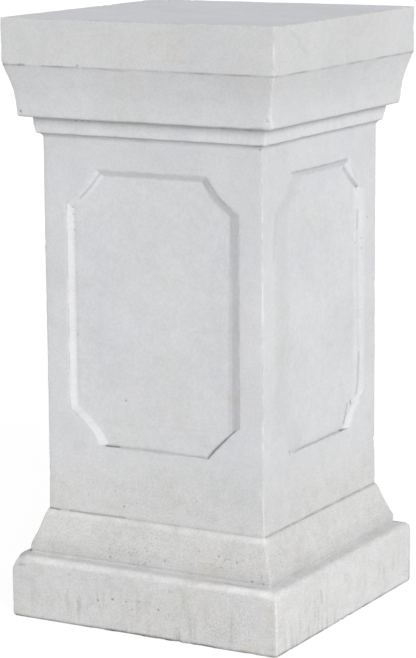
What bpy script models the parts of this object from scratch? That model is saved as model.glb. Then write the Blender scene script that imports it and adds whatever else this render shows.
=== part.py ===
"""Square Roman pedestal, cast in one piece: plinth, base moulding, panelled shaft, neck band and cap.

The profile runs up one side of the pedestal. Each level of it is a square with rounded corners, so the
mouldings meet in mitres. The four panels are sunk into the shaft with a sloped border.
"""

import math

import bmesh
import bpy
from mathutils import Matrix, Vector

# Sizes in metres. Heights stack upwards from the underside, and projections add to half of the shaft.
SHAFT_WIDTH = 0.3086
SHAFT_HEIGHT = 0.4732  # from the crease over the base slope to the start of the neck cove
SHAFT_CORNER_RADIUS = 0.0028  # the rounding of the vertical corners, seen from above
SHAFT_FLARE = 0.0009  # the shaft widens this much on each side towards its foot
SHAFT_FLARE_HEIGHT = 0.06

PLINTH_HEIGHT = 0.08
LEDGE_WIDTH = 0.0172  # from the lip of the base moulding out to the plinth's face
LEDGE_RISE = 0.0025  # the plinth's top falls this much to its edge

BASE_PROJECTION = 0.019
BASE_SLOPE_HEIGHT = 0.0453
BASE_SLOPE_HOLLOW = 0.0009  # the slope sinks in this much at its middle
BASE_LIP_HEIGHT = 0.0062
BASE_LIP_GAP = 0.0045  # height of the shadow line under the lip
BASE_LIP_UNDERCUT = 0.0016
FOOT_STEP_WIDTH = 0.0024  # small step from the shaft's face out to the rounded head of the base slope
FOOT_STEP_DROP = 0.0018

NECK_COVE_PROJECTION = 0.0063
NECK_COVE_HEIGHT = 0.0068
BAND_HEIGHT = 0.0207
BAND_FLARE = 0.0044  # the band leans out this much towards the cap
SOFFIT_WIDTH = 0.0124

CAVETTO_HEIGHT = 0.065
CAVETTO_PROJECTION = 0.0131
FASCIA_HEIGHT = 0.0578

PANEL_SIDE_MARGIN = 0.0331
PANEL_FOOT_MARGIN = 0.0892  # above the crease at the shaft's foot
PANEL_HEAD_MARGIN = 0.0355  # below the neck cove
PANEL_DEPTH = 0.0038
PANEL_SIDE_SLOPE = 0.0145  # width of the sloped border along the upright edges
PANEL_HEAD_SLOPE = 0.008  # and along the top edge
PANEL_FOOT_SLOPE = 0.002  # and along the bottom edge, where it is steepest
PANEL_CUT_SLOPE = 0.0125  # and across the corners
PANEL_CORNER_CUT = 0.0435
PANEL_CUT_SAG = 0.004  # the corner cuts bow inwards by this much

TOP_EDGE_RADIUS = 0.0032
FASCIA_EDGE_RADIUS = 0.003
CAP_LIP_RADIUS = 0.0036
SOFFIT_COVE_RADIUS = 0.0034
BAND_EDGE_RADIUS = 0.0012
FOOT_STEP_RADIUS = 0.0028
BASE_LIP_RADIUS = 0.0026
LEDGE_CREASE_RADIUS = 0.001
PLINTH_EDGE_RADIUS = 0.0068
PLINTH_FOOT_RADIUS = 0.0034

CORNER_SEGMENTS = 4
EDGE_SEGMENTS = 3
SLOPE_SEGMENTS = 4
COVE_SEGMENTS = 5
CAVETTO_SEGMENTS = 9
CUT_SEGMENTS = 6
FILLET_SHARE = 0.48  # the most of an edge that the fillet at one end of it takes
SMOOTH_ANGLE = math.radians(24)  # faces that meet at less are shaded as one surface

STONE_COLOUR = (0.66, 0.66, 0.65, 1.0)
STONE_ROUGHNESS = 0.9

# What follows from the sizes above.
SHAFT_HALF = SHAFT_WIDTH / 2
BASE_LIP_HALF = SHAFT_HALF + BASE_PROJECTION
PLINTH_HALF = BASE_LIP_HALF + LEDGE_WIDTH
BAND_FOOT_HALF = SHAFT_HALF + NECK_COVE_PROJECTION
BAND_HEAD_HALF = BAND_FOOT_HALF + BAND_FLARE
CAP_LIP_HALF = BAND_HEAD_HALF + SOFFIT_WIDTH
CAP_HALF = CAP_LIP_HALF + CAVETTO_PROJECTION

LEDGE_TOP = PLINTH_HEIGHT + LEDGE_RISE
BASE_LIP_BOTTOM = LEDGE_TOP + BASE_LIP_GAP
BASE_LIP_TOP = BASE_LIP_BOTTOM + BASE_LIP_HEIGHT
SHAFT_FOOT = BASE_LIP_TOP + BASE_SLOPE_HEIGHT
SHAFT_HEAD = SHAFT_FOOT + SHAFT_HEIGHT
BAND_FOOT = SHAFT_HEAD + NECK_COVE_HEIGHT
SOFFIT = BAND_FOOT + BAND_HEIGHT
FASCIA_FOOT = SOFFIT + CAVETTO_HEIGHT
TOP = FASCIA_FOOT + FASCIA_HEIGHT

PANEL_HALF_WIDTH = SHAFT_HALF - PANEL_SIDE_MARGIN
PANEL_BOTTOM = SHAFT_FOOT + PANEL_FOOT_MARGIN
PANEL_TOP = SHAFT_HEAD - PANEL_HEAD_MARGIN


def clear_scene():
    for old in list(bpy.data.objects):
        bpy.data.objects.remove(old, do_unlink=True)


def stone():
    material = bpy.data.materials.new("cast_stone")
    material.use_nodes = True
    shader = material.node_tree.nodes["Principled BSDF"]
    shader.inputs["Base Color"].default_value = STONE_COLOUR
    shader.inputs["Roughness"].default_value = STONE_ROUGHNESS
    shader.inputs["Metallic"].default_value = 0.0
    material.diffuse_color = STONE_COLOUR
    return material


def hollow_arc(foot, projection, rise, segments):
    """Points up a concave arc that starts upright at foot and ends projection further out and rise higher."""
    radius = (projection**2 + rise**2) / (2 * projection)
    full_turn = math.atan2(rise, radius - projection)
    turns = [full_turn * step / segments for step in range(1, segments)]
    return [
        foot + Vector((radius - radius * math.cos(turn), radius * math.sin(turn)))
        for turn in turns
    ]


def sunk_line(foot, head, hollow, segments):
    """Points between foot and head on a shallow bow that sinks in by hollow at its middle."""
    run = head - foot
    inwards = Vector((-run.y, run.x)).normalized()
    shares = [step / segments for step in range(1, segments)]
    return [foot + run * share + inwards * hollow * 4 * share * (1 - share) for share in shares]


def rounded(before, corner, after, radius, segments):
    """Points of the arc that replaces a corner, kept within half of the shorter side beside it."""
    to_before = before - corner
    to_after = after - corner
    half_angle = to_before.angle(to_after) / 2
    room = FILLET_SHARE * min(to_before.length, to_after.length)
    tangent = min(radius / math.tan(half_angle), room)
    start = corner + to_before.normalized() * tangent
    end = corner + to_after.normalized() * tangent
    middle = (to_before.normalized() + to_after.normalized()).normalized()
    centre = corner + middle * tangent / math.cos(half_angle)
    sweep = (start - centre).angle_signed(end - centre)
    return [
        centre + Matrix.Rotation(-sweep * step / segments, 2) @ (start - centre)
        for step in range(segments + 1)
    ]


def profile():
    """(half-width, height) of each level of the pedestal, from the underside to the top."""
    neck = hollow_arc(
        Vector((SHAFT_HALF, SHAFT_HEAD)), NECK_COVE_PROJECTION, NECK_COVE_HEIGHT, COVE_SEGMENTS
    )
    cavetto = hollow_arc(
        Vector((CAP_LIP_HALF, SOFFIT)), CAVETTO_PROJECTION, CAVETTO_HEIGHT, CAVETTO_SEGMENTS
    )
    slope_foot = Vector((BASE_LIP_HALF, BASE_LIP_TOP))
    slope_head = Vector((SHAFT_HALF + SHAFT_FLARE + FOOT_STEP_WIDTH, SHAFT_FOOT - FOOT_STEP_DROP))
    slope = sunk_line(slope_foot, slope_head, BASE_SLOPE_HOLLOW, SLOPE_SEGMENTS)
    corners = [
        ((PLINTH_HALF, 0.0), PLINTH_FOOT_RADIUS),
        ((PLINTH_HALF, PLINTH_HEIGHT), PLINTH_EDGE_RADIUS),
        ((BASE_LIP_HALF - BASE_LIP_UNDERCUT, LEDGE_TOP), LEDGE_CREASE_RADIUS),
        ((BASE_LIP_HALF, BASE_LIP_BOTTOM), BASE_LIP_RADIUS),
        (slope_foot, BASE_LIP_RADIUS),
        *((point, 0.0) for point in slope),
        (slope_head, FOOT_STEP_RADIUS),
        ((SHAFT_HALF + SHAFT_FLARE, SHAFT_FOOT), 0.0),
        ((SHAFT_HALF, SHAFT_FOOT + SHAFT_FLARE_HEIGHT), 0.0),
        ((SHAFT_HALF, SHAFT_HEAD), 0.0),
        *((point, 0.0) for point in neck),
        ((BAND_FOOT_HALF, BAND_FOOT), BAND_EDGE_RADIUS),
        ((BAND_HEAD_HALF, SOFFIT), SOFFIT_COVE_RADIUS),
        ((CAP_LIP_HALF, SOFFIT), CAP_LIP_RADIUS),
        *((point, 0.0) for point in cavetto),
        ((CAP_HALF, FASCIA_FOOT), FASCIA_EDGE_RADIUS),
        ((CAP_HALF, TOP), TOP_EDGE_RADIUS),
    ]
    places = [Vector((0.0, 0.0)), *(Vector(place) for place, _ in corners), Vector((0.0, TOP))]
    levels = []
    for index, (_, radius) in enumerate(corners, start=1):
        if radius:
            beside = places[index - 1 : index + 2]
            levels += rounded(*beside, radius, EDGE_SEGMENTS)
        else:
            levels.append(places[index])
    return levels


def moulded_block(levels):
    """A bmesh that starts as a rounded square on the ground and is extruded from level to level."""
    mesh = bmesh.new()
    bmesh.ops.create_circle(
        mesh,
        cap_ends=True,
        segments=4,
        radius=SHAFT_HALF * math.sqrt(2),
        matrix=Matrix.Rotation(math.radians(45), 4, "Z"),
    )
    bmesh.ops.bevel(
        mesh,
        geom=mesh.verts[:],
        offset=SHAFT_CORNER_RADIUS,
        affect="VERTICES",
        segments=CORNER_SEGMENTS,
        profile=0.5,
        material=-1,
    )
    face = mesh.faces[:][0]
    half = SHAFT_HALF
    height = 0.0
    for number, (next_half, next_height) in enumerate(levels):
        if number:
            rim = [face, *face.edges, *face.verts]
            grown = bmesh.ops.extrude_face_region(mesh, geom=rim)["geom"]
            face = next(item for item in grown if isinstance(item, bmesh.types.BMFace))
        scale = next_half / half
        bmesh.ops.scale(mesh, vec=(scale, scale, 1.0), verts=face.verts)
        bmesh.ops.translate(mesh, vec=(0.0, 0.0, next_height - height), verts=face.verts)
        half, height = next_half, next_height
    bmesh.ops.recalc_face_normals(mesh, faces=mesh.faces)
    return mesh


def panel_outline(across):
    """(x, z) points round a panel: its outer outline at 0 across the sloped border, its floor's at 1.

    The corners are cut at 45 degrees, and each cut bows towards the middle of the panel.
    """
    half_width = PANEL_HALF_WIDTH - across * PANEL_SIDE_SLOPE
    points = []
    for right, up in ((1, 1), (-1, 1), (-1, -1), (1, -1)):
        edge, slope = (PANEL_TOP, PANEL_HEAD_SLOPE) if up > 0 else (PANEL_BOTTOM, PANEL_FOOT_SLOPE)
        height = edge - up * across * slope
        narrowing = math.sqrt(2) * PANEL_CUT_SLOPE - PANEL_SIDE_SLOPE - slope
        cut = PANEL_CORNER_CUT + across * narrowing
        beside = Vector((right * half_width, height - up * cut))
        above = Vector((right * (half_width - cut), height))
        start, end = (beside, above) if right == up else (above, beside)
        inwards = Vector((-right, -up)).normalized()
        for step in range(CUT_SEGMENTS + 1):
            share = step / CUT_SEGMENTS
            bow = PANEL_CUT_SAG * 4 * share * (1 - share)
            points.append(start.lerp(end, share) + inwards * bow)
    return points


def panel_cutter(turn):
    """A closed wedge that sinks one panel: its sloped sides go on outwards past the shaft's face."""
    edge = panel_outline(0.0)
    floor = panel_outline(1.0)
    mesh = bmesh.new()
    mouth_y = -SHAFT_HALF - PANEL_DEPTH
    floor_y = -SHAFT_HALF + PANEL_DEPTH
    mouth = []
    for at_edge, at_floor in zip(edge, floor):
        at_mouth = 2 * at_edge - at_floor
        mouth.append(mesh.verts.new((at_mouth.x, mouth_y, at_mouth.y)))
    face = mesh.faces.new(mouth)
    rim = [face, *face.edges, *face.verts]
    grown = bmesh.ops.extrude_face_region(mesh, geom=rim)["geom"]
    moved = [item for item in grown if isinstance(item, bmesh.types.BMVert)]
    for vertex in moved:
        nearest = min(range(len(mouth)), key=lambda number: (mouth[number].co - vertex.co).length)
        vertex.co = (floor[nearest].x, floor_y, floor[nearest].y)
    bmesh.ops.recalc_face_normals(mesh, faces=mesh.faces)
    bmesh.ops.rotate(mesh, matrix=Matrix.Rotation(turn, 3, "Z"), verts=mesh.verts)
    return mesh


def add_object(name, mesh):
    data = bpy.data.meshes.new(name)
    mesh.to_mesh(data)
    mesh.free()
    made = bpy.data.objects.new(name, data)
    bpy.context.scene.collection.objects.link(made)
    return made


def sink_panels(pedestal):
    for side in range(4):
        cutter = add_object(f"panel_cutter_{side + 1}", panel_cutter(math.radians(90 * side)))
        cutter.hide_render = True
        cutter.display_type = "WIRE"
        cut = pedestal.modifiers.new(f"panel_{side + 1}", "BOOLEAN")
        cut.operation = "DIFFERENCE"
        cut.object = cutter


def main():
    clear_scene()
    pedestal = add_object("pedestal", moulded_block(profile()))
    pedestal.data.materials.append(stone())
    pedestal.data.shade_smooth()
    pedestal.data.set_sharp_from_angle(angle=SMOOTH_ANGLE)
    sink_panels(pedestal)
    pedestal.modifiers.new("flat_faces", "WEIGHTED_NORMAL").keep_sharp = True


main()
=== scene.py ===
import math
import random

import bmesh
import bpy
from mathutils import Matrix, Vector, noise
from mathutils.bvhtree import BVHTree
from mathutils.kdtree import KDTree


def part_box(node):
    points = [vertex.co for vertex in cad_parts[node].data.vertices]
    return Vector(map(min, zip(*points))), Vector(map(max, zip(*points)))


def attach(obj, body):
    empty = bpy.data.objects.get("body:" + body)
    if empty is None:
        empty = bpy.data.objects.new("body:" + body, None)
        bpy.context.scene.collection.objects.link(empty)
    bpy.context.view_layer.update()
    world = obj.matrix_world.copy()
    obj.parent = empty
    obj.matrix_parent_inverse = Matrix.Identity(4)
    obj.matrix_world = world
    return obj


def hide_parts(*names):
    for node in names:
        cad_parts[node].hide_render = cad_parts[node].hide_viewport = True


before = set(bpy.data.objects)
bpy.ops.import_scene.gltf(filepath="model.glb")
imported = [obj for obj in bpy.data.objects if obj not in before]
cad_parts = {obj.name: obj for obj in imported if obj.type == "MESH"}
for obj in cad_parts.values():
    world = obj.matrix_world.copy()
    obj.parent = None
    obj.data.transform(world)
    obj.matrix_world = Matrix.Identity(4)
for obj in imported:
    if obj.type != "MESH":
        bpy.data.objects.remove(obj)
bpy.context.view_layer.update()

# A square cast-stone pedestal: one casting with its worn arrises, pits, brushed-on dirt, painted shade and
# light, and pale bloom.
# Lengths are in metres, z is up, and the wide face that the camera sees looks along -y.
mm = 0.001

# sizes of the casting, as in the solid
shape = {
    "shaftHalf": 0.1543,
    "cornerRadius": 0.0012,
    "shaftFlare": 0.0009,
    "flareTop": 0.1985,
    "plinthHalf": 0.1905,
    "plinthTop": 0.080,
    "ledgeTop": 0.0825,
    "baseLipHalf": 0.1733,
    "baseLipUndercut": 0.0016,
    "baseLipBottom": 0.0870,
    "baseLipTop": 0.0932,
    "slopeHollow": 0.0009,
    "footStepWidth": 0.0024,
    "footStepDrop": 0.0018,
    "shaftFoot": 0.1385,
    "shaftHead": 0.6117,
    "bandFootHalf": 0.1606,
    "bandFoot": 0.6185,
    "bandHeadHalf": 0.1650,
    "soffit": 0.6392,
    "capLipHalf": 0.1774,
    "fasciaFoot": 0.7042,
    "top": 0.762,
    "coveSteps": 5,
    "cavettoSteps": 12,
    "slopeSteps": 6,
    "edgeSteps": 4,
    "cornerSteps": 4,
    "columnStep": 0.0046,
    "sideColumn": 0.0012,     # the columns beside the vertical arrises are this narrow
    "rowStep": 0.0050,
    "shaftRowStep": 0.0064,
    "edgeRows": (0.0014, 0.0036),  # rows of faces close to each corner of the profile
}

# fillet radius at each corner of the profile
fillets = {
    "plinthFoot": 0.0034,
    "plinthEdge": 0.0068,
    "ledgeCrease": 0.0022,
    "baseLip": 0.0026,
    "footStep": 0.0028,
    "bandEdge": 0.0010,
    "soffitCove": 0.0022,
    "capLip": 0.0034,
    "fasciaEdge": 0.0020,
    "topEdge": 0.0012,
}

# one sunk panel, seen from outside its face; across runs from the outer outline (0) to the floor (1)
panel = {
    "halfWidth": 0.1212,
    "bottom": 0.2277,
    "top": 0.5762,
    "depth": 0.0043,
    "leftSlope": 0.0090,
    "rightSlope": 0.0138,
    "headSlope": 0.0080,
    "footSlope": 0.0012,
    "cornerCut": 0.0435,
    "cutSlope": {(1, 1): 0.0120, (-1, 1): 0.0120, (-1, -1): 0.0095, (1, -1): 0.0036},  # by (right, up)
    "cutBow": {(1, 1): 0.0040, (-1, 1): 0.0040, (-1, -1): 0.0040, (1, -1): 0.0008},
    "cutSteps": 8,
    "border": [(0.25, 0.31), (0.60, 0.68), (0.88, 0.95), (1.0, 1.0)],  # (across, share of the depth)
    "step": 0.0052,
}

# the panel on the narrow face of the photograph runs out softly towards the front arris
softPanel = {
    "leftSlope": 0.0440,
    "rightSlope": 0.0230,
    "cutSlope": {(1, 1): 0.0110, (-1, 1): 0.0300, (-1, -1): 0.0320, (1, -1): 0.0065},
}


def hollowArc(foot, projection, rise, steps):
    # concave arc that starts upright at foot
    radius = (projection ** 2 + rise ** 2) / (2 * projection)
    fullTurn = math.atan2(rise, radius - projection)
    turns = [fullTurn * step / steps for step in range(1, steps)]
    return [(foot[0] + radius - radius * math.cos(turn), foot[1] + radius * math.sin(turn))
            for turn in turns]


def filletPoints(before, corner, after, radius, steps):
    toBefore = before - corner
    toAfter = after - corner
    halfAngle = toBefore.angle(toAfter) / 2
    reach = min(radius / math.tan(halfAngle), 0.48 * min(toBefore.length, toAfter.length))
    start = corner + toBefore.normalized() * reach
    end = corner + toAfter.normalized() * reach
    middle = (toBefore.normalized() + toAfter.normalized()).normalized()
    centre = corner + middle * reach / math.cos(halfAngle)
    sweep = (start - centre).angle_signed(end - centre)
    spots = [-sweep * step / steps for step in range(steps + 1)]
    return [centre + Matrix.Rotation(spot, 2) @ (start - centre) for spot in spots]


def sunkLine(foot, head, hollow, steps):
    # shallow bow from foot to head
    run = head - foot
    inwards = Vector((-run.y, run.x)).normalized()
    shares = [step / steps for step in range(1, steps)]
    return [foot + run * share + inwards * hollow * 4 * share * (1 - share) for share in shares]


def rowShares(length, onShaft):
    # where rows cut a stretch of the profile: close to its ends, and evenly between
    rowStep = shape["shaftRowStep" if onShaft else "rowStep"]
    near = [gap for gap in shape["edgeRows"] if gap < 0.3 * length]
    middle = length - 2 * (near[-1] if near else 0.0)
    rows = max(1, math.ceil(middle / rowStep))
    start = near[-1] if near else 0.0
    stops = near[:-1] + [start + middle * row / rows for row in range(rows + 1)]
    stops += [length - gap for gap in reversed(near[:-1])]
    return [stop / length for stop in stops if stop > 1e-6] + ([1.0] if near else [])


def profileLevels():
    # (half-width, height) of each ring of the casting, from the underside to the top
    s = shape
    f = fillets
    neck = hollowArc((s["shaftHalf"], s["shaftHead"]), s["bandFootHalf"] - s["shaftHalf"],
                     s["bandFoot"] - s["shaftHead"], s["coveSteps"])
    cavetto = hollowArc((s["capLipHalf"], s["soffit"]), s["plinthHalf"] - s["capLipHalf"],
                        s["fasciaFoot"] - s["soffit"], s["cavettoSteps"])
    slopeFoot = Vector((s["baseLipHalf"], s["baseLipTop"]))
    slopeHead = Vector((s["shaftHalf"] + s["shaftFlare"] + s["footStepWidth"],
                        s["shaftFoot"] - s["footStepDrop"]))
    corners = [
        ((s["plinthHalf"], 0.0), f["plinthFoot"]),
        ((s["plinthHalf"], s["plinthTop"]), f["plinthEdge"]),
        ((s["baseLipHalf"] - s["baseLipUndercut"], s["ledgeTop"]), f["ledgeCrease"]),
        ((s["baseLipHalf"], s["baseLipBottom"]), f["baseLip"]),
        (slopeFoot, f["baseLip"]),
        *((point, 0.0) for point in sunkLine(slopeFoot, slopeHead, s["slopeHollow"], s["slopeSteps"])),
        (slopeHead, f["footStep"]),
        ((s["shaftHalf"] + s["shaftFlare"], s["shaftFoot"]), 0.0),
        ((s["shaftHalf"], s["flareTop"]), 0.0),
        ((s["shaftHalf"], s["shaftHead"]), 0.0),
        *((point, 0.0) for point in neck),
        ((s["bandFootHalf"], s["bandFoot"]), f["bandEdge"]),
        ((s["bandHeadHalf"], s["soffit"]), f["soffitCove"]),
        ((s["capLipHalf"], s["soffit"]), f["capLip"]),
        *((point, 0.0) for point in cavetto),
        ((s["plinthHalf"], s["fasciaFoot"]), f["fasciaEdge"]),
        ((s["plinthHalf"], s["top"]), f["topEdge"]),
    ]
    places = [Vector((0.0, 0.0)), *(Vector(place) for place, _ in corners), Vector((0.0, s["top"]))]
    rings = []
    for index, (_, radius) in enumerate(corners, start=1):
        if radius:
            rings += filletPoints(*places[index - 1:index + 2], radius, s["edgeSteps"])
        else:
            rings.append(places[index])
    # rows of faces between them, so that the surface can be worn and dented
    levels = [rings[0]]
    for ring in rings[1:]:
        below = levels[-1]
        length = (ring - below).length
        if length < 1e-6:
            continue
        onShaft = s["shaftFoot"] < (below.y + ring.y) / 2 < s["shaftHead"]
        levels += [below.lerp(ring, share) for share in rowShares(length, onShaft)]
    return levels


def castBlock():
    mesh = bmesh.new()
    s = shape
    bmesh.ops.create_circle(mesh, cap_ends=True, segments=4, radius=s["shaftHalf"] * math.sqrt(2),
                            matrix=Matrix.Rotation(math.radians(45), 4, "Z"))
    bmesh.ops.bevel(mesh, geom=mesh.verts[:], offset=s["cornerRadius"], affect="VERTICES",
                    segments=s["cornerSteps"], profile=0.5, material=-1)
    sides = [edge for edge in mesh.edges if edge.calc_length() > s["shaftHalf"]]
    for side in sides:
        # a narrow column at either end of each side
        for end in list(side.verts):
            side = next(edge for edge in end.link_edges if edge.calc_length() > s["shaftHalf"])
            bmesh.utils.edge_split(side, end, s["sideColumn"] / side.calc_length())
    sides = [edge for edge in mesh.edges if edge.calc_length() > s["shaftHalf"]]
    columns = round(2 * s["shaftHalf"] / s["columnStep"])
    bmesh.ops.subdivide_edges(mesh, edges=sides, cuts=columns - 1)
    face = mesh.faces[:][0]
    half = s["shaftHalf"]
    height = 0.0
    for number, (nextHalf, nextHeight) in enumerate(profileLevels()):
        if number:
            grown = bmesh.ops.extrude_face_region(mesh, geom=[face, *face.edges, *face.verts])["geom"]
            face = next(item for item in grown if isinstance(item, bmesh.types.BMFace))
        scale = nextHalf / half
        bmesh.ops.scale(mesh, vec=(scale, scale, 1.0), verts=face.verts)
        bmesh.ops.translate(mesh, vec=(0.0, 0.0, nextHeight - height), verts=face.verts)
        half, height = nextHalf, nextHeight
    ends = [item for item in mesh.faces if len(item.verts) > 20]
    cutGrid(mesh, ends, (0, 1), 0.0095)
    bmesh.ops.recalc_face_normals(mesh, faces=mesh.faces)
    return mesh


def cutGrid(mesh, faces, axes, step):
    # rules the flat faces into a grid
    for axis in axes:
        places = [corner.co[axis] for item in faces for corner in item.verts]
        low, high = min(places), max(places)
        count = max(2, round((high - low) / step))
        direction = Vector((0, 0, 0))
        direction[axis] = 1
        for number in range(1, count):
            edges = dict.fromkeys(edge for item in faces for edge in item.edges)
            corners = dict.fromkeys(corner for item in faces for corner in item.verts)
            cut = bmesh.ops.bisect_plane(mesh, geom=[*faces, *edges, *corners], dist=1e-6,
                                         plane_co=direction * (low + (high - low) * number / count),
                                         plane_no=direction)
            faces = [item for item in cut["geom"] if isinstance(item, bmesh.types.BMFace)]


def panelRing(across, p):
    # (x, z) round a panel; its corners are cut at 45 degrees, and each cut bows towards the middle
    points = []
    for right, up in ((1, 1), (-1, 1), (-1, -1), (1, -1)):
        side = p["rightSlope"] if right > 0 else p["leftSlope"]
        edge, end = (p["top"], p["headSlope"]) if up > 0 else (p["bottom"], p["footSlope"])
        wide = right * (p["halfWidth"] - across * side)
        high = edge - up * across * end
        cut = p["cornerCut"] + across * (math.sqrt(2) * p["cutSlope"][right, up] - side - end)
        beside = Vector((wide, high - up * cut))
        above = Vector((wide - right * cut, high))
        start, finish = (beside, above) if right == up else (above, beside)
        inwards = Vector((-right, -up)).normalized()
        for step in range(p["cutSteps"] + 1):
            share = step / p["cutSteps"]
            bow = p["cutBow"][right, up] * 4 * share * (1 - share)
            points.append(start.lerp(finish, share) + inwards * bow)
    return points


def panelCutter(turn, p):
    firstAcross, firstDepth = p["border"][0]
    rings = [(-2 * firstAcross, -2 * firstDepth), *p["border"]]
    mesh = bmesh.new()
    outline = [mesh.verts.new((point.x, 0, point.y)) for point in panelRing(0.0, p)]
    face = mesh.faces.new(outline)
    longEdges = [edge for edge in mesh.edges if edge.calc_length() > 2 * p["step"]]
    for edge in longEdges:
        bmesh.ops.subdivide_edges(mesh, edges=[edge], cuts=round(edge.calc_length() / p["step"]) - 1)
    ringPoints = [ringAt(face, across, p) for across, _ in rings]
    for number, (across, depth) in enumerate(rings):
        if number:
            grown = bmesh.ops.extrude_face_region(mesh, geom=[face, *face.edges, *face.verts])["geom"]
            face = next(item for item in grown if isinstance(item, bmesh.types.BMFace))
        for corner, point in zip(face.verts, ringPoints[number]):
            corner.co = (point.x, -shape["shaftHalf"] + depth * p["depth"], point.y)
    cutGrid(mesh, [face], (0, 2), p["step"])
    bmesh.ops.recalc_face_normals(mesh, faces=mesh.faces)
    bmesh.ops.rotate(mesh, matrix=Matrix.Rotation(turn, 3, "Z"), verts=mesh.verts)
    return mesh


def ringAt(face, across, p):
    # the place of each corner of the outline on the ring that lies that far across the border
    outer = panelRing(0.0, p)
    inner = panelRing(across, p)
    places = []
    for corner in face.verts:
        spot = Vector((corner.co.x, corner.co.z))
        best = None
        for number, start in enumerate(outer):
            finish = outer[(number + 1) % len(outer)]
            run = finish - start
            share = min(1.0, max(0.0, (spot - start).dot(run) / run.length_squared))
            gap = (start + run * share - spot).length
            if best is None or gap < best[0]:
                innerFinish = inner[(number + 1) % len(inner)]
                best = (gap, inner[number].lerp(innerFinish, share))
        places.append(best[1])
    return places


def meshObject(name, mesh):
    data = bpy.data.meshes.new(name)
    mesh.to_mesh(data)
    mesh.free()
    made = bpy.data.objects.new(name, data)
    bpy.context.scene.collection.objects.link(made)
    return made


def inOrder(mesh):
    # the same corners and faces, in an order that doesn't change from run to run
    corners = sorted(mesh.verts, key=lambda corner: tuple(corner.co))
    ranks = {corner: rank for rank, corner in enumerate(corners)}
    loops = []
    for face in mesh.faces:
        loop = [ranks[corner] for corner in face.verts]
        first = loop.index(min(loop))
        loops.append(loop[first:] + loop[:first])
    ordered = bmesh.new()
    placed = [ordered.verts.new(corner.co) for corner in corners]
    for loop in sorted(loops):
        ordered.faces.new([placed[rank] for rank in loop])
    mesh.free()
    return ordered


def cutPanels(block):
    # the four sunk panels are cut in one go
    cutters = bmesh.new()
    for side in range(4):
        form = {**panel, **softPanel} if side == 1 else panel
        cutter = meshObject("panelCutter", panelCutter(math.radians(90 * side), form))
        cutters.from_mesh(cutter.data)
        bpy.data.objects.remove(cutter)
    cutter = meshObject("panelCutters", cutters)
    cut = block.modifiers.new("panels", "BOOLEAN")
    cut.operation = "DIFFERENCE"
    cut.solver = "EXACT"
    cut.object = cutter
    graph = bpy.context.evaluated_depsgraph_get()
    mesh = bmesh.new()
    mesh.from_mesh(block.evaluated_get(graph).to_mesh())
    block.modifiers.clear()
    bpy.data.objects.remove(cutter)
    return inOrder(mesh)


print("casting: block")
pedestal = meshObject("pedestal_casting", castBlock())
print("casting: panels", len(pedestal.data.polygons))
mesh = cutPanels(pedestal)
print("casting: faces", len(mesh.faces))

# wear of the surface
wear = {
    "warpSize": 0.7 * mm,      # slow bends of the whole casting
    "warpScale": 4.5,
    "unevenSize": 0.28 * mm,   # trowelled unevenness of the faces
    "unevenScale": 26,
    "arrisWobble": 0.40 * mm,  # arrises that wander
    "arrisScale": 42,
    "arrisReach": 1.6 * mm,
    "creaseReach": 2.2 * mm,
    "sharpBend": 14,           # degrees between two faces from which their edge counts as an arris
    "chips": 150,
    "chipRadius": (2.5 * mm, 6.0 * mm),
    "chipDepth": (0.2 * mm, 0.9 * mm),
    "wideFaceCreaseShare": 0.30,      # share of the lines of grime and painted shade in the base's creases that is kept on the wide face
    "otherNoses": 0.12,        # how pale the rounded edges of the other faces are
    "seed": 11,
}

# where the casting came out of true: (middle, reach, move) in metres
bends = [
    ((0.1905, -0.1905, 0.730), 0.10, (-0.0012, 0.0, 0.0)),   # front arris of the cap
    ((0.1905, -0.1905, 0.035), 0.10, (0.0, 0.0014, 0.0)),    # front arris of the plinth
    ((-0.1905, -0.1905, 0.082), 0.022, (0.0032, 0.0032, -0.0040)),  # worn left corner of the plinth
    ((0.1905, -0.1905, 0.082), 0.024, (-0.0022, 0.0022, -0.0030)),  # and its front corner
]

# lines of grime and painted shade that run round the casting: (half-width, height, reach, strength, share
# that is broken up)
grimeAndShadeLines = [
    (0.1903, 0.7040, 1.7 * mm, 0.42, 0.70),   # lower line of the fascia
    (0.1765, 0.6388, 1.9 * mm, 0.08, 0.30),   # under the lip of the cap
    (0.1600, 0.6180, 1.6 * mm, 0.12, 0.15),   # where the band meets the shaft
    (0.1553, 0.1386, 1.7 * mm, 0.50, 0.45),   # foot of the shaft
    (0.1722, 0.0925, 11.0 * mm, 0.09, 0.30),  # soft shade round the lip of the base
    (0.1718, 0.0826, 1.9 * mm, 0.34, 0.45),   # crease of the ledge
    (0.1895, 0.0016, 2.6 * mm, 0.80, 0.70),   # lower edge of the plinth
]
grimeBase = (0.02, 0.20)  # the creases of the base lie between these heights

# rounded edges that are painted paler: (half-width, height, reach)
noseBands = [
    (0.1577, 0.1342, 5.5 * mm),   # head of the base slope
    (0.1880, 0.0795, 8.0 * mm),   # upper edge of the plinth
]


def edgePoints(mesh, wanted):
    # wanted is 1 for arrises and -1 for creases
    found = set()
    sharpBend = math.radians(wear["sharpBend"])
    for edge in mesh.edges:
        if len(edge.link_faces) == 2 and edge.calc_face_angle_signed(0.0) * wanted > sharpBend:
            found.update(edge.verts)
    return sorted((corner.co.copy() for corner in found), key=tuple)  # in the same order in every run


def treeOf(points):
    tree = KDTree(len(points))
    for number, point in enumerate(points):
        tree.insert(point, number)
    tree.balance()
    return tree


def onPanel(place):
    # true on the faces that carry the sunk panels, away from the vertical arrises
    spread = sorted((abs(place.x), abs(place.y)))[0]
    return panel["bottom"] - 0.01 < place.z < panel["top"] + 0.01 and spread < panel["halfWidth"] + 0.01


def onWideFace(place):
    return -place.y > abs(place.x) - 2 * mm


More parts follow.
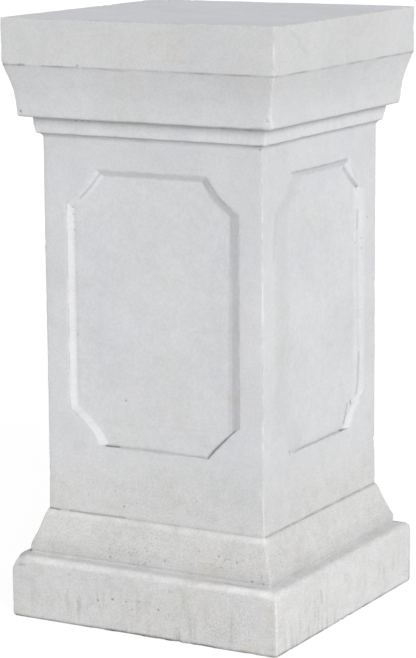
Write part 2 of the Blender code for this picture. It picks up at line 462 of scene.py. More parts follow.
def grimeAndShadeAt(place):
    # dirt and painted shade in the lines between the mouldings, weaker in the base's creases on the wide
    # face
    half = max(abs(place.x), abs(place.y))
    wideFaceShare = wear["wideFaceCreaseShare"] if onWideFace(place) else 1.0
    most = 0.0
    for width, height, reach, strength, broken in grimeAndShadeLines:
        gap = math.hypot(half - width, place.z - height) / reach
        if gap < 1:
            lump = 0.5 + 1.4 * noise.noise(place * 38 + Vector((0, 0, 90 * height)))
            share = 1 - broken + broken * min(1.0, max(0.0, lump))
            if grimeBase[0] < height < grimeBase[1] and reach < 5 * mm:
                share *= wideFaceShare
            most = max(most, strength * share * (1 - gap * gap))
    return most


def noseAt(place):
    # 1 on the pale rounded edges of the wide face, and less on the other faces
    half = max(abs(place.x), abs(place.y))
    strength = 1.0 if onWideFace(place) else wear["otherNoses"]
    most = 0.0
    for width, height, reach in noseBands:
        gap = math.hypot(half - width, place.z - height) / reach
        if gap < 1:
            most = max(most, (1 - gap * gap) * strength)
    return most


def wearCasting(mesh):
    random.seed(wear["seed"])
    noise.seed_set(wear["seed"])
    mesh.normal_update()
    arrises = edgePoints(mesh, 1)
    creases = edgePoints(mesh, -1)
    print("casting: arris points", len(arrises), "crease points", len(creases))
    arrisTree = treeOf(arrises)
    creaseTree = treeOf(creases)
    arrisLayer = mesh.verts.layers.float.new("arris")
    creaseLayer = mesh.verts.layers.float.new("crease")
    grimeAndShadeLayer = mesh.verts.layers.float.new("grimeAndShade")
    noseLayer = mesh.verts.layers.float.new("noseBand")
    openArrises = [place for place in arrises if not onPanel(place)]
    chips = []
    for _ in range(wear["chips"]):
        chips.append((random.choice(openArrises), random.uniform(*wear["chipRadius"]),
                      random.uniform(*wear["chipDepth"])))
    chipTree = treeOf([chip[0] for chip in chips])
    moves = []
    for corner in mesh.verts:
        place = corner.co
        nearArris = math.exp(-arrisTree.find(place)[2] / wear["arrisReach"])
        nearCrease = math.exp(-creaseTree.find(place)[2] / wear["creaseReach"])
        corner[arrisLayer] = nearArris
        corner[creaseLayer] = nearCrease
        corner[grimeAndShadeLayer] = grimeAndShadeAt(place)
        corner[noseLayer] = noseAt(place)
        move = noise.noise_vector(place * wear["warpScale"]) * wear["warpSize"]
        lift = noise.noise(place * wear["unevenScale"]) * wear["unevenSize"]
        wobble = noise.noise(place * wear["arrisScale"] + Vector((7, 3, 1)))
        lift += nearArris * (wobble - 0.35) * wear["arrisWobble"]
        for _, number, gap in chipTree.find_range(place, wear["chipRadius"][1]):
            _, radius, depth = chips[number]
            if gap < radius:
                lift -= depth * (1 - (gap / radius) ** 2)
        for middle, reach, shift in bends:
            gap = (place - Vector(middle)).length / reach
            if gap < 1:
                move += Vector(shift) * (1 - gap * gap) ** 2
        moves.append(move + corner.normal * lift)
    for corner, move in zip(mesh.verts, moves):
        corner.co += move


def keepInside(mesh, low, high):
    # the casting stays within its solid's box, and stands flat
    for corner in mesh.verts:
        for axis in range(3):
            corner.co[axis] = min(high[axis], max(low[axis], corner.co[axis]))
        if corner.co.z < 0.6 * mm:
            corner.co.z = 0.0


wearCasting(mesh)
keepInside(mesh, *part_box("pedestal"))


# camera
# the photograph is 416 x 658 pixels; this camera was fitted to the mouldings in it
view = {
    "place": (1.6141, -2.8632, 0.9903),
    "yaw": 29.5455,
    "pitch": 10.8988,
    "roll": -0.4269,
    "lens": 142.93,
    "sensor": 36,
    "width": 416,
    "height": 658,
}


def viewAxes():
    yaw, pitch, roll = (math.radians(view[name]) for name in ("yaw", "pitch", "roll"))
    ahead = Vector((-math.sin(yaw) * math.cos(pitch), math.cos(yaw) * math.cos(pitch), -math.sin(pitch)))
    right = Vector((math.cos(yaw), math.sin(yaw), 0))
    up = right.cross(ahead)
    turnedRight = right * math.cos(roll) + up * math.sin(roll)
    turnedUp = up * math.cos(roll) - right * math.sin(roll)
    return turnedRight, turnedUp, ahead


def makeCamera():
    right, up, ahead = viewAxes()
    lens = bpy.data.cameras.new("camera")
    lens.sensor_width = view["sensor"]
    lens.lens = view["lens"]
    lens.clip_end = 500
    camera = bpy.data.objects.new("camera", lens)
    turn = Matrix((right, up, -ahead)).transposed().to_4x4()
    camera.matrix_world = Matrix.Translation(view["place"]) @ turn
    bpy.context.scene.collection.objects.link(camera)
    bpy.context.scene.camera = camera


def placeSeen(tree, x, y):
    # the place on the casting that pixel (x, y) of the photograph shows, and which way the surface faces
    right, up, ahead = viewAxes()
    pixels = view["lens"] / view["sensor"] * view["height"]
    aim = ahead + right * (x - view["width"] / 2) / pixels - up * (y - view["height"] / 2) / pixels
    place, facing, _, _ = tree.ray_cast(Vector(view["place"]), aim.normalized())
    return place, facing


# marks that stand at known places of the photograph, as pixels
# kind, size in mm across, strength, then the pixels that the mark runs through
photoMarks = [
    # cap, left face: dirt and pits along the fascia's lower line, and under the lip
    ("dirtAndShade", 1.8, 0.4, [(18, 64.3), (24, 64.6)]),
    ("dirtAndShade", 1.6, 0.3, [(41.5, 66), (52, 66.6), (62, 66.8)]),
    ("pit", 2.4, 0.7, [(77, 65.7)]),
    ("dirtAndShade", 1.4, 0.2, [(90, 68.2), (125, 71.5)]),
    ("pit", 3.2, 0.8, [(20.2, 111.3)]),
    ("pit", 2.2, 0.6, [(76, 120.5)]),
    ("pit", 2.2, 0.6, [(82, 120.7)]),
    ("pit", 2.2, 0.6, [(88, 120.9)]),
    ("dirtAndShade", 3.4, 0.30, [(250, 129.5), (262, 129.6)]),
    ("dirtAndShade", 3.0, 0.20, [(222, 127.8), (250, 129.5)]),
    ("dirtAndShade", 3.0, 0.30, [(255, 146.4), (262, 146.2)]),
    # and its soft smudges
    ("dirtAndShade", 7.0, 0.035, [(53, 57), (72, 44)]),
    ("dirtAndShade", 9.0, 0.030, [(17, 34), (28, 50)]),
    ("dirtAndShade", 7.0, 0.030, [(145, 53), (160, 44)]),
    ("dirtAndShade", 6.0, 0.030, [(160, 40), (187, 43)]),
    ("dirtAndShade", 12.0, 0.035, [(20, 89), (46, 92)]),
    ("dirtAndShade", 11.0, 0.030, [(62, 86), (85, 86)]),
    ("dirtAndShade", 12.0, 0.028, [(118, 92), (160, 96), (262, 101)]),
    ("dirtAndShade", 10.0, 0.025, [(45, 134), (100, 139)]),
    # cap, right face: smudges, notches and the cream chipped arris
    ("dirtAndShade", 4.0, 0.08, [(292, 33), (300, 41)]),
    ("dirtAndShade", 4.0, 0.08, [(298, 44), (306, 52)]),
    ("chip", 4.0, 0.6, [(277, 68)]),
    ("chip", 4.0, 0.5, [(273, 72)]),
    ("warm", 8.0, 0.18, [(279, 28), (278, 75)]),
    ("dirtAndShade", 2.4, 0.07, [(283, 25.5), (395, 8.6)]),
    ("pale", 5.0, 0.2, [(270, 117), (271, 122), (275, 127)]),
    ("chip", 4.2, 0.7, [(266, 121), (272, 126)]),
    ("pit", 1.6, 0.7, [(266, 122)]),
    ("pit", 1.6, 0.7, [(269, 125)]),
    ("pit", 1.5, 0.6, [(274, 124.5)]),
    ("pit", 2.6, 0.5, [(260, 150)]),
    # panel of the left face
    ("pit", 2.2, 0.8, [(126, 400.5)]),
    ("pit", 1.8, 0.6, [(72.5, 207)]),
    ("pit", 1.8, 0.6, [(73.2, 214)]),
    ("pit", 1.8, 0.5, [(74.0, 222)]),
    ("pit", 1.8, 0.6, [(74.4, 230)]),
    ("pit", 1.8, 0.5, [(75.0, 238)]),
    # dark lines along the panel's border: dirt, and painted shade on its bevels
    ("dirtAndShade", 1.9, 0.30, [(80.5, 198), (90, 187), (100, 174)]),
    ("dirtAndShade", 5.0, 0.07, [(101, 173.0), (150, 176.0), (205, 180.0)]),
    ("dirtAndShade", 1.9, 0.14, [(206, 178.5), (222, 201), (237.5, 213)]),
    ("dirtAndShade", 1.9, 0.12, [(230.5, 216), (229.6, 300), (229.2, 432)]),
    ("dirtAndShade", 5.0, 0.05, [(74.5, 205), (76, 260), (77.5, 330), (78.5, 395)]),
    ("pit", 2.0, 0.5, [(77.5, 335)]),
    ("pit", 1.8, 0.4, [(77.8, 352)]),
    # gaps: dented, and painted dark with dirt and the shade in them
    ("gap", 2.9, 0.95, [(106.5, 445.4), (112, 446.1), (119, 446.8)]),
    ("dirtAndShade", 1.6, 0.16, [(121, 446.8), (140, 448.6), (155, 450.7), (170, 452.7), (185, 455), (206, 458)]),
    ("gap", 2.4, 0.30, [(234.5, 432), (227, 438)]),
    ("gap", 3.2, 0.45, [(227, 438), (220, 444.5), (213, 451.5), (209.3, 456)]),
    # panel of the right face
    ("gap", 2.4, 0.18, [(289.5, 452.3), (302, 447.2), (320, 439.5), (335, 432)]),
    ("gap", 2.8, 0.9, [(339, 430.6), (342.5, 429.3)]),
    ("dirtAndShade", 1.8, 0.4, [(289, 451), (290, 454)]),
    # dark lines along the panel's border: dirt, and painted shade on its bevels
    ("dirtAndShade", 2.0, 0.28, [(291.5, 173), (320, 166.5), (347, 159.2)]),
    ("dirtAndShade", 4.0, 0.30, [(343.5, 168), (350, 178), (356, 186)]),
    ("pit", 2.6, 0.9, [(356.5, 186.5)]),
    ("dirtAndShade", 2.6, 0.28, [(357.2, 211), (357.2, 228)]),
    ("dirtAndShade", 2.8, 0.10, [(356.6, 228), (357.2, 300), (358, 352)]),
    ("dirtAndShade", 2.8, 0.30, [(358.6, 352), (357.6, 380), (356, 393)]),
    ("dirtAndShade", 2.8, 0.12, [(275.4, 214), (273.6, 260)]),
    ("pit", 2.0, 0.8, [(355, 243)]),
    ("pit", 1.8, 0.6, [(361, 238)]),
    ("pit", 1.8, 0.6, [(361, 248)]),
    ("pit", 1.8, 0.9, [(367.5, 216.7)]),
    ("gap", 2.2, 0.9, [(350.2, 400), (350.8, 404)]),
    ("dirtAndShade", 1.6, 0.5, [(347, 404), (345, 415), (343.5, 424)]),
    # smudges of the shaft
    ("dirtAndShade", 8.0, 0.022, [(92, 333), (108, 350), (128, 349)]),
    ("dirtAndShade", 8.0, 0.018, [(160, 326), (192, 322)]),
    ("dirtAndShade", 10.0, 0.020, [(178, 422), (206, 440)]),
    ("dirtAndShade", 10.0, 0.020, [(176, 508), (196, 516), (214, 520)]),
    ("dirtAndShade", 9.0, 0.030, [(334, 491), (346, 486)]),
    # base, left face
    ("pit", 2.0, 0.7, [(88.6, 495.3)]),
    ("pit", 2.4, 0.7, [(124, 506.5)]),
    ("pit", 1.8, 0.6, [(137, 503)]),
    ("dirtAndShade", 1.8, 0.6, [(48, 507), (60, 509.5)]),
    ("dirtAndShade", 2.0, 0.35, [(70, 510.5), (90, 513.5), (125, 518)]),
    ("pit", 2.2, 0.8, [(110, 557)]),
    ("pit", 1.8, 0.5, [(134, 565)]),
    ("pit", 2.2, 0.6, [(165, 561)]),
    ("dirtAndShade", 2.2, 0.3, [(20, 564.4), (24.5, 564.6)]),
    ("pit", 2.0, 0.5, [(69, 574.5)]),
    ("pit", 1.8, 0.4, [(75, 569)]),
    ("pit", 2.4, 0.9, [(97.5, 600.4)]),
    ("pit", 2.4, 0.9, [(112, 599.5)]),
    ("pit", 2.2, 0.7, [(125.5, 602)]),
    ("pit", 2.2, 0.6, [(138, 602)]),
    ("pit", 2.2, 0.5, [(132, 610)]),
    ("pit", 2.6, 0.8, [(158, 610)]),
    ("pit", 2.0, 0.6, [(190, 620)]),
    ("pit", 2.0, 0.6, [(169, 592)]),
    ("pit", 2.2, 0.5, [(199, 551)]),
    ("pit", 2.2, 0.6, [(218.5, 556)]),
    ("pit", 2.4, 0.7, [(237, 563)]),
    ("chip", 4.0, 0.6, [(154, 636.5)]),
    ("chip", 3.4, 0.5, [(100, 629)]),
    ("chip", 3.6, 0.6, [(185, 642)]),
    ("warm", 9.0, 0.35, [(17, 612), (24, 616)]),
    # base, right face and front arris
    ("pit", 2.6, 0.7, [(252, 582)]),
    ("pit", 2.6, 0.6, [(263, 584.5)]),
    ("dirtAndShade", 2.2, 0.22, [(225, 583), (240, 586), (255, 588)]),
    ("pale", 6.0, 0.20, [(256, 541), (266, 542)]),
    ("chip", 3.6, 0.6, [(268, 560)]),
    ("chip", 3.6, 0.5, [(267, 572)]),
    ("pale", 7.0, 0.30, [(232, 588), (255, 591.5), (268, 593)]),
    ("chip", 3.6, 0.6, [(276, 612)]),
    ("chip", 3.6, 0.5, [(277, 630)]),
    ("warm", 12.0, 0.30, [(268, 608), (272, 618)]),
    ("warm", 7.0, 0.45, [(248, 650), (254, 651)]),
    ("dirtAndShade", 4.0, 0.2, [(321, 592), (322, 603)]),
    ("chip", 4.0, 0.6, [(366, 598)]),
    ("chip", 4.0, 0.6, [(402, 578)]),
]

markSettings = {
    "pixelStep": 0.6,
    "fineWithin": 2.0,      # faces within this many times the mark's size are split finer
    "fineEdge": 1.7 * mm,
    "pitDepth": 0.35,       # depth as a share of the mark's size
    "chipDepth": 0.30,
    "gapDepth": 0.45,
    "finest": 6 * mm,       # wider marks are soft smudges, and their faces aren't split
}

# what each kind of mark paints, and how strongly; the dark marks are dirt, and painted shade in gaps and
# along the panels' borders
markPaint = {
    "pit": ("dirtAndShade", 0.8),
    "gap": ("dirtAndShade", 0.9),
    "dirtAndShade": ("dirtAndShade", 1.0),
    "chip": ("pale", 0.2),
    "pale": ("pale", 1.0),
    "warm": ("warm", 1.0),
}
markReach = {"pit": 0.80, "gap": 0.75, "chip": 0.6}  # reach as a share of the size, else 1
markDepth = {"pit": markSettings["pitDepth"], "gap": markSettings["gapDepth"],
             "chip": markSettings["chipDepth"]}


def castMarks(mesh):
    # every mark becomes a row of places on the casting: (place, facing, kind, size, strength)
    tree = BVHTree.FromBMesh(mesh)
    spots = []
    for kind, size, strength, pixels in photoMarks:
        stops = [Vector(pixel) for pixel in pixels]
        trail = [stops[0]]
        for start, finish in zip(stops, stops[1:]):
            steps = max(1, math.ceil((finish - start).length / markSettings["pixelStep"]))
            trail += [start.lerp(finish, step / steps) for step in range(1, steps + 1)]
        for stop in trail:
            place, facing = placeSeen(tree, *stop)
            if place is not None:
                spots.append((place, facing, kind, size * mm, strength))
    return spots


def splitNearMarks(mesh, spots):
    places = treeOf([spot[0] for spot in spots])
    widest = max(spot[3] for spot in spots) * markSettings["fineWithin"]
    for _ in range(2):
        near = []
        for edge in mesh.edges:
            if edge.calc_length() > markSettings["fineEdge"]:
                middle = (edge.verts[0].co + edge.verts[1].co) / 2
                for _, number, gap in places.find_range(middle, widest):
                    size = spots[number][3]
                    if size < markSettings["finest"] and gap < size * markSettings["fineWithin"]:
                        near.append(edge)
                        break
        bmesh.ops.subdivide_edges(mesh, edges=near, cuts=1, use_grid_fill=True)
        bmesh.ops.triangulate(mesh, faces=[face for face in mesh.faces if len(face.verts) > 4])


def pressMarks(mesh, spots):
    layers = {name: mesh.verts.layers.float.new(name) for name in ("dirtAndShade", "pale", "warm")}
    places = treeOf([spot[0] for spot in spots])
    widest = max(spot[3] for spot in spots)
    for corner in mesh.verts:
        sink = 0.0
        inwards = None
        for _, number, gap in places.find_range(corner.co, widest):
            _, facing, kind, size, strength = spots[number]
            reach = size * markReach.get(kind, 1.0)
            if gap > reach:
                continue
            fade = 1 - (gap / reach) ** 2
            name, share = markPaint[kind]
            corner[layers[name]] = max(corner[layers[name]], strength * share * fade)
            deep = markDepth.get(kind, 0.0) * size * strength * fade
            if deep > sink:
                sink = deep
                inwards = facing
        if inwards is not None:
            corner.co -= inwards * sink


print("casting: marks")
makeCamera()
markSpots = castMarks(mesh)
splitNearMarks(mesh, markSpots)
pressMarks(mesh, markSpots)
bmesh.ops.triangulate(mesh, faces=[face for face in mesh.faces if len(face.verts) > 4])
mesh.to_mesh(pedestal.data)
print("casting: triangles", sum(len(face.verts) - 2 for face in mesh.faces))
mesh.free()
pedestal.data.shade_smooth()
pedestal.data.set_sharp_from_angle(angle=math.radians(38))


# finish: node helpers
def node(tree, kind, **settings):
    made = tree.nodes.new(kind)
    for name, value in settings.items():
        setattr(made, name, value)
    return made


def feed(tree, socket, value):
    # value is a number, a colour or another node's output
    if isinstance(value, bpy.types.NodeSocket):
        tree.links.new(value, socket)
    else:
        socket.default_value = value


def mathOf(tree, operation, first, second=0.0):
    made = node(tree, "ShaderNodeMath", operation=operation)
    feed(tree, made.inputs[0], first)
    feed(tree, made.inputs[1], second)
    return made.outputs[0]


def rangeOf(tree, value, low, high, toLow=0.0, toHigh=1.0):
    made = node(tree, "ShaderNodeMapRange", interpolation_type="SMOOTHSTEP")
    for name, entry in (("Value", value), ("From Min", low), ("From Max", high),
                        ("To Min", toLow), ("To Max", toHigh)):
        feed(tree, made.inputs[name], entry)
    return made.outputs["Result"]


def mixOf(tree, share, first, second, blend="MIX"):
    made = node(tree, "ShaderNodeMix", data_type="RGBA", blend_type=blend)
    feed(tree, made.inputs["Factor"], share)
    feed(tree, made.inputs["A"], first)
    feed(tree, made.inputs["B"], second)
    return made.outputs["Result"]


def attributeOf(tree, name):
    return node(tree, "ShaderNodeAttribute", attribute_name=name).outputs["Fac"]


def newGroup(name, inputs, outputs):
    # inputs: name -> default; outputs: names
    group = bpy.data.node_groups.new(name, "ShaderNodeTree")
    for label, default in inputs.items():
        kind = "NodeSocketVector" if isinstance(default, tuple) else "NodeSocketFloat"
        socket = group.interface.new_socket(label, in_out="INPUT", socket_type=kind)
        socket.default_value = default
    for label in outputs:
        group.interface.new_socket(label, in_out="OUTPUT", socket_type="NodeSocketFloat")
    return group, node(group, "NodeGroupInput"), node(group, "NodeGroupOutput")


def useGroup(tree, group, **values):
    made = node(tree, "ShaderNodeGroup", node_tree=group)
    for name, value in values.items():
        feed(tree, made.inputs[name], value)
    return made


def patchGroup():
    # soft blotches: 0 to 1
    entries = {"Place": (0.0, 0.0, 0.0), "Shift": (0.0, 0.0, 0.0), "Scale": 10.0, "Detail": 3.0,
               "Low": 0.4, "High": 0.6}
    group, given, out = newGroup("softPatches", entries, ["Mask"])
    moved = node(group, "ShaderNodeVectorMath", operation="ADD")
    group.links.new(given.outputs["Place"], moved.inputs[0])
    group.links.new(given.outputs["Shift"], moved.inputs[1])
    cloud = node(group, "ShaderNodeTexNoise")
    group.links.new(moved.outputs[0], cloud.inputs["Vector"])
    group.links.new(given.outputs["Scale"], cloud.inputs["Scale"])
    group.links.new(given.outputs["Detail"], cloud.inputs["Detail"])
    cloud.inputs["Roughness"].default_value = 0.55
    mask = rangeOf(group, cloud.outputs["Fac"], given.outputs["Low"], given.outputs["High"])
    group.links.new(mask, out.inputs["Mask"])
    return group


def pinholeGroup():
    # small round air holes: 1 in the middle of a hole, 0 beside it
    # Amount, 0 to 1, says how many cells have one
    group, given, out = newGroup("pinholes", {"Place": (0.0, 0.0, 0.0), "Scale": 90.0, "Size": 0.09,
                                              "Amount": 0.4}, ["Mask"])
    cells = node(group, "ShaderNodeTexVoronoi")
    group.links.new(given.outputs["Place"], cells.inputs["Vector"])
    group.links.new(given.outputs["Scale"], cells.inputs["Scale"])
    pick = node(group, "ShaderNodeSeparateColor")
    group.links.new(cells.outputs["Color"], pick.inputs[0])
    has = mathOf(group, "SUBTRACT", given.outputs["Amount"], pick.outputs[0])
    grown = rangeOf(group, has, 0.0, 0.35)
    radius = mathOf(group, "MULTIPLY", grown, given.outputs["Size"])
    inside = mathOf(group, "SUBTRACT", radius, cells.outputs["Distance"])
    mask = rangeOf(group, inside, 0.0, 0.03)
    group.links.new(mask, out.inputs["Mask"])
    return group


# finish: cast stone
stoneFinish = {
    "upperTone": (0.506, 0.513, 0.537, 1),     # bluish bloom on the shaft
    "lowerTone": (0.520, 0.523, 0.533, 1),     # neutral towards the foot
    "capTone": (0.998, 0.996, 0.986, 1),
    "fasciaTone": (0.955, 0.954, 0.950, 1),
    "topBloomAndLight": (1.095, 1.100, 1.128, 1),       # the cap's flat top: its bluish bloom, and painted light that makes it lighter
    "bandPaintedLight": (1.110, 1.110, 1.108, 1),      # painted light: the band under the cap's lip is painted lighter against the lip's shade
    "greenTone": (0.980, 0.988, 0.962, 1),
    "blueTone": (0.978, 0.988, 1.000, 1),
    "warmTone": (0.992, 0.978, 0.952, 1),
    "smearTone": (0.972, 0.963, 0.942, 1),
    "paintedLitSide": (1.070, 1.070, 1.070, 1),    # painted light: the plinth's face towards the light is painted lighter
    # near-black of dirt, also used as painted shade in the lines, gaps and panel borders
    "dirtAndShadeTone": (0.075, 0.071, 0.064, 1),
    "paleTone": (0.700, 0.702, 0.716, 1),
    "stainTone": (0.480, 0.420, 0.330, 1),
    "soilTone": (0.300, 0.285, 0.250, 1),
    "roughness": 0.9,
    "sheenlessSpecular": 0.18,
    "lowArrisShare": 0.06,
    "soiledArris": 0.50,
    "lowSoiledArris": 0.16,
    "noseShare": 0.24,
    "holeShare": 0.26,
    "grainBump": 0.40,
    "upFacingTone": (0.95, 0.945, 0.935, 1),
    "upFacingPatchTone": (0.93, 0.925, 0.915, 1),
    "strokeTone": (0.84, 0.835, 0.82, 1),
    "dirtInCrease": 0.12,
    # clouds, mottles and speckle: (shift, scale, low, high, detail, only on the foot, shade)
    "clouds": [
        (1.3, 7, 0.30, 0.70, 2.0, False, 0.955),
        (4.1, 24, 0.35, 0.65, 3.0, False, 0.975),
        (7.7, 85, 0.38, 0.62, 3.0, False, 0.972),
        (9.2, 330, 0.40, 0.60, 1.0, False, 0.945),
        (6.4, 60, 0.46, 0.66, 5.0, True, 0.950),
        (3.8, 620, 0.47, 0.60, 2.0, True, 0.860),
    ],
    # tinted blotches: (shift, scale, low, high, tone)
    "blotches": [
        (2.2, 13, 0.56, 0.68, "greenTone"),
        (5.6, 11, 0.55, 0.70, "blueTone"),
        (8.4, 9, 0.60, 0.74, "warmTone"),
    ],
    # air holes
    "smallHoles": {"Scale": 280.0, "Size": 0.36},
    "largeHoles": {"Scale": 75.0, "Size": 0.095},
    "largeHoleShare": 0.40,
    "holesAbove": 0.14,
    "holesBelow": 0.44,
    "holesAddedBelow": 0.12,
}


def stoneMaterial():
    f = stoneFinish
    material = bpy.data.materials.new("castStone")
    material.use_nodes = True
    tree = material.node_tree
    shader = tree.nodes["Principled BSDF"]
    shader.inputs["Roughness"].default_value = f["roughness"]
    shader.inputs["Specular IOR Level"].default_value = f["sheenlessSpecular"]
    place = node(tree, "ShaderNodeTexCoord").outputs["Object"]
    axes = node(tree, "ShaderNodeSeparateXYZ")
    tree.links.new(place, axes.inputs[0])
    height = axes.outputs["Z"]
    facing = node(tree, "ShaderNodeSeparateXYZ")
    tree.links.new(node(tree, "ShaderNodeNewGeometry").outputs["Normal"], facing.inputs[0])
    upwards = rangeOf(tree, facing.outputs["Z"], 0.12, 0.55)

    patches = patchGroup()

    def patch(shift, scale, low, high, detail=3.0, place=place):
        return useGroup(tree, patches, Place=place, Shift=(shift, -shift, 0.7 * shift), Scale=scale,
                        Detail=detail, Low=low, High=high).outputs["Mask"]

    def thinned(mask, share):
        return mathOf(tree, "MULTIPLY", mask, share)

    def tinted(mask, tone):
        return mixOf(tree, mask, colour, mixOf(tree, 1.0, colour, tone, "MULTIPLY"))

    # bluish bloom above, neutral and rougher towards the foot
    foot = rangeOf(tree, height, 0.24, 0.15)
    colour = mixOf(tree, foot, f["upperTone"], f["lowerTone"])
    cap = rangeOf(tree, height, 0.605, 0.65)
    colour = tinted(cap, f["capTone"])
    fascia = rangeOf(tree, height, 0.701, 0.706)
    colour = tinted(fascia, f["fasciaTone"])
    # painted light: the band in the shade of the lip, painted lighter
    band = mathOf(tree, "MULTIPLY", rangeOf(tree, height, 0.6188, 0.6205),
                  rangeOf(tree, height, 0.6385, 0.6330))
    colour = tinted(band, f["bandPaintedLight"])
    # the cap's flat top painted lighter and bluer: partly bloom, partly painted light
    flatTop = mathOf(tree, "MULTIPLY", rangeOf(tree, facing.outputs["Z"], 0.90, 0.99),
                     rangeOf(tree, height, 0.755, 0.760))
    colour = tinted(flatTop, f["topBloomAndLight"])
    # painted light: the plinth's face towards the light, painted lighter
    paintedLitSide = mathOf(tree, "MULTIPLY", rangeOf(tree, axes.outputs["X"], 0.184, 0.189),
                        rangeOf(tree, height, 0.084, 0.070))
    colour = tinted(paintedLitSide, f["paintedLitSide"])
    # clouds, mottles and speckle
    for shift, scale, low, high, detail, onFoot, shade in f["clouds"]:
        mask = thinned(patch(shift, scale, low, high, detail), foot if onFoot else 1.0)
        colour = tinted(mask, (shade, shade, shade, 1))
    for shift, scale, low, high, tone in f["blotches"]:
        colour = tinted(patch(shift, scale, low, high), f[tone])

    # faint smears across the shaft
    level = node(tree, "ShaderNodeMapping")
    level.inputs["Scale"].default_value = (0.30, 0.30, 1.3)
    level.inputs["Rotation"].default_value = (0.12, 0.18, 0.0)
    tree.links.new(place, level.inputs["Vector"])
    smears = mathOf(tree, "MULTIPLY", patch(7.2, 90, 0.54, 0.68, 3.0, level.outputs["Vector"]),
                    patch(2.4, 8, 0.42, 0.60))
    colour = tinted(smears, f["smearTone"])

    # brush strokes that run down the foot
    stretched = node(tree, "ShaderNodeMapping")
    stretched.inputs["Scale"].default_value = (1.0, 1.0, 0.12)
    tree.links.new(place, stretched.inputs["Vector"])
    strokes = patch(3.3, 120, 0.50, 0.66, 2.0, stretched.outputs["Vector"])
    low = mathOf(tree, "MULTIPLY", rangeOf(tree, height, 0.072, 0.020), patch(6.1, 9, 0.36, 0.54))
    strokes = mathOf(tree, "MULTIPLY", strokes, low)
    colour = tinted(strokes, f["strokeTone"])

    # the base slope darker where it faces up, and dirt in the creases
    slopeFacingUp = mathOf(tree, "MULTIPLY", upwards, rangeOf(tree, height, 0.5, 0.3))
    slopeFacingUp = mathOf(tree, "MULTIPLY", slopeFacingUp, rangeOf(tree, height, 0.0870, 0.0930))
    slopeFacingUpPatches = mathOf(tree, "MULTIPLY", slopeFacingUp, patch(2.9, 45, 0.25, 0.75))
    colour = tinted(slopeFacingUp, f["upFacingTone"])
    colour = tinted(slopeFacingUpPatches, f["upFacingPatchTone"])
    crease = rangeOf(tree, attributeOf(tree, "crease"), 0.55, 1.0)
    inCrease = mathOf(tree, "MULTIPLY", crease, patch(1.9, 30, 0.45, 0.70, 4.0))
    colour = mixOf(tree, thinned(inCrease, f["dirtInCrease"]), colour, f["dirtAndShadeTone"])

    # arrises rubbed pale, but not where they face down; rounded noses painted paler
    notUnder = rangeOf(tree, facing.outputs["Z"], -0.45, -0.05)
    arris = mathOf(tree, "MULTIPLY", rangeOf(tree, attributeOf(tree, "arris"), 0.55, 1.0), notUnder)
    rubbed = mathOf(tree, "MULTIPLY", arris, patch(3.7, 34, 0.30, 0.62, 4.0))
    lowArris = rangeOf(tree, height, 0.30, 0.18, 0.0, f["lowArrisShare"])
    colour = mixOf(tree, mathOf(tree, "MULTIPLY", rubbed, lowArris), colour, f["paleTone"])
    soiled = mathOf(tree, "MULTIPLY", arris, patch(6.9, 80, 0.40, 0.58, 4.0))
    soiledShare = rangeOf(tree, height, 0.30, 0.12, f["soiledArris"], f["lowSoiledArris"])
    colour = mixOf(tree, mathOf(tree, "MULTIPLY", soiled, soiledShare), colour, f["soilTone"])
    nose = mathOf(tree, "MULTIPLY", rangeOf(tree, attributeOf(tree, "noseBand"), 0.0, 1.0),
                  patch(4.9, 26, 0.30, 0.60))
    colour = mixOf(tree, thinned(nose, f["noseShare"]), colour, f["paleTone"])

    # air holes, more of them towards the foot
    holes = pinholeGroup()
    crowd = mathOf(tree, "MULTIPLY", patch(5.2, 17, 0.48, 0.72),
                   rangeOf(tree, foot, 0.0, 1.0, f["holesAbove"], f["holesBelow"]))
    crowd = mathOf(tree, "ADD", crowd, thinned(foot, f["holesAddedBelow"]))
    fewer = thinned(crowd, f["largeHoleShare"])
    small = useGroup(tree, holes, Place=place, Amount=crowd, **f["smallHoles"]).outputs["Mask"]
    large = useGroup(tree, holes, Place=place, Amount=fewer, **f["largeHoles"]).outputs["Mask"]
    pinhole = mathOf(tree, "MAXIMUM", small, large)
    colour = mixOf(tree, thinned(pinhole, f["holeShare"]), colour, f["dirtAndShadeTone"])

    # grime and painted shade in the lines between the mouldings
    lines = mathOf(tree, "MULTIPLY", attributeOf(tree, "grimeAndShade"), patch(1.1, 150, 0.10, 0.50, 3.0))
    colour = mixOf(tree, lines, colour, f["dirtAndShadeTone"])

    # marks of the photographed one: stains, pale marks, and dirt with painted shade
    stain = mathOf(tree, "MULTIPLY", attributeOf(tree, "warm"), patch(2.6, 110, 0.35, 0.62, 4.0))
    colour = mixOf(tree, stain, colour, f["stainTone"])
    colour = mixOf(tree, attributeOf(tree, "pale"), colour, f["paleTone"])
    colour = mixOf(tree, attributeOf(tree, "dirtAndShade"), colour, f["dirtAndShadeTone"])
    tree.links.new(colour, shader.inputs["Base Color"])

    # relief too fine for the mesh
    grain = node(tree, "ShaderNodeTexNoise")
    grain.inputs["Scale"].default_value = 420
    grain.inputs["Detail"].default_value = 4
    tree.links.new(place, grain.inputs["Vector"])
    coarse = node(tree, "ShaderNodeTexNoise")
    coarse.inputs["Scale"].default_value = 90
    coarse.inputs["Detail"].default_value = 3
    tree.links.new(place, coarse.inputs["Vector"])
    relief = mathOf(tree, "ADD", thinned(grain.outputs["Fac"], 0.25), thinned(coarse.outputs["Fac"], 0.6))
    relief = mathOf(tree, "SUBTRACT", relief, thinned(pinhole, 0.9))
    relief = mathOf(tree, "SUBTRACT", relief, thinned(strokes, 0.2))
    bump = node(tree, "ShaderNodeBump")
    bump.inputs["Strength"].default_value = f["grainBump"]
    bump.inputs["Distance"].default_value = 1.0 * mm
    tree.links.new(relief, bump.inputs["Height"])
    tree.links.new(bump.outputs[0], shader.inputs["Normal"])
    return material


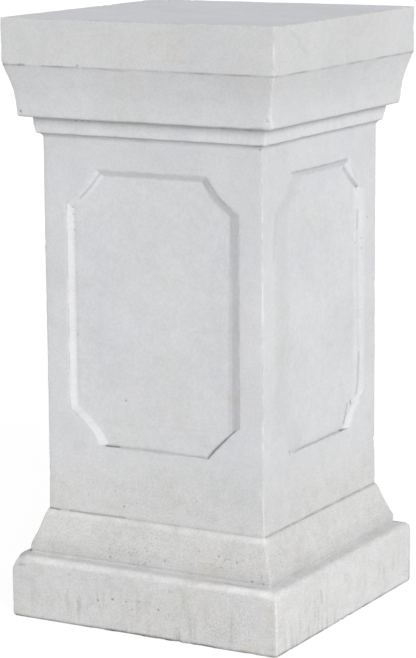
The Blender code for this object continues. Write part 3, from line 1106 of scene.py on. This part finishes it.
print("finish: cast stone")
pedestal.data.materials.clear()
pedestal.data.materials.append(stoneMaterial())
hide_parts("pedestal")
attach(pedestal, "root")


# floor and light
studio = {
    "floorSize": 120,
    "floorAlbedo": 0.72,
    "floorShown": 0.90,
    "floorShade": 0.12,
    "skyGlow": 0.27,
    "keyStrength": 3.96,
    "keyColour": (1.0, 0.989, 0.961),
    "keySpread": 30,
    "keyTurn": 49,
    "keyHeight": 20,
    "overheadStrength": 1.40,
    "overheadSpread": 60,
}


def makeFloor():
    mesh = bmesh.new()
    bmesh.ops.create_grid(mesh, x_segments=1, y_segments=1, size=studio["floorSize"] / 2)
    floor = meshObject("floor", mesh)
    material = bpy.data.materials.new("paleFloor")
    material.use_nodes = True
    tree = material.node_tree
    tree.nodes.clear()
    output = node(tree, "ShaderNodeOutputMaterial")
    path = node(tree, "ShaderNodeLightPath")
    lit = node(tree, "ShaderNodeBsdfDiffuse")
    lit.inputs["Color"].default_value = (*[studio["floorAlbedo"]] * 3, 1)
    shown = node(tree, "ShaderNodeBsdfDiffuse")
    shown.inputs["Color"].default_value = (*[studio["floorShade"]] * 3, 1)
    glow = node(tree, "ShaderNodeEmission")
    glow.inputs["Strength"].default_value = studio["floorShown"]
    both = node(tree, "ShaderNodeAddShader")
    mix = node(tree, "ShaderNodeMixShader")
    tree.links.new(shown.outputs[0], both.inputs[0])
    tree.links.new(glow.outputs[0], both.inputs[1])
    tree.links.new(path.outputs["Is Camera Ray"], mix.inputs[0])
    tree.links.new(lit.outputs[0], mix.inputs[1])
    tree.links.new(both.outputs[0], mix.inputs[2])
    tree.links.new(mix.outputs[0], output.inputs["Surface"])
    floor.data.materials.append(material)


def makeWorld():
    world = bpy.data.worlds.new("studio")
    world.use_nodes = True
    tree = world.node_tree
    tree.nodes.clear()
    output = node(tree, "ShaderNodeOutputWorld")
    path = node(tree, "ShaderNodeLightPath")
    sky = node(tree, "ShaderNodeBackground")
    sky.inputs["Strength"].default_value = studio["skyGlow"]
    shown = node(tree, "ShaderNodeBackground")
    mix = node(tree, "ShaderNodeMixShader")
    shown.inputs["Color"].default_value = (1, 1, 1, 1)
    sky.inputs["Color"].default_value = (1, 1, 1, 1)
    tree.links.new(path.outputs["Is Camera Ray"], mix.inputs[0])
    tree.links.new(sky.outputs[0], mix.inputs[1])
    tree.links.new(shown.outputs[0], mix.inputs[2])
    tree.links.new(mix.outputs[0], output.inputs["Surface"])
    bpy.context.scene.world = world


def sunFrom(name, turn, height, strength, spread):
    # turn is measured from -y towards +x, as seen from above
    lamp = bpy.data.lights.new(name, "SUN")
    lamp.energy = strength
    lamp.angle = math.radians(spread)
    sun = bpy.data.objects.new(name, lamp)
    turned, raised = math.radians(turn), math.radians(height)
    towards = Vector((math.sin(turned) * math.cos(raised), -math.cos(turned) * math.cos(raised),
                      math.sin(raised)))
    sun.rotation_euler = towards.to_track_quat("Z", "Y").to_euler()
    bpy.context.scene.collection.objects.link(sun)


print("studio")
makeFloor()
makeWorld()
sunFrom("keyLight", studio["keyTurn"], studio["keyHeight"], studio["keyStrength"], studio["keySpread"])
bpy.data.lights["keyLight"].color = studio["keyColour"]
sunFrom("overheadLight", 0, 90, studio["overheadStrength"], studio["overheadSpread"])
bpy.context.scene.view_settings.view_transform = "Standard"
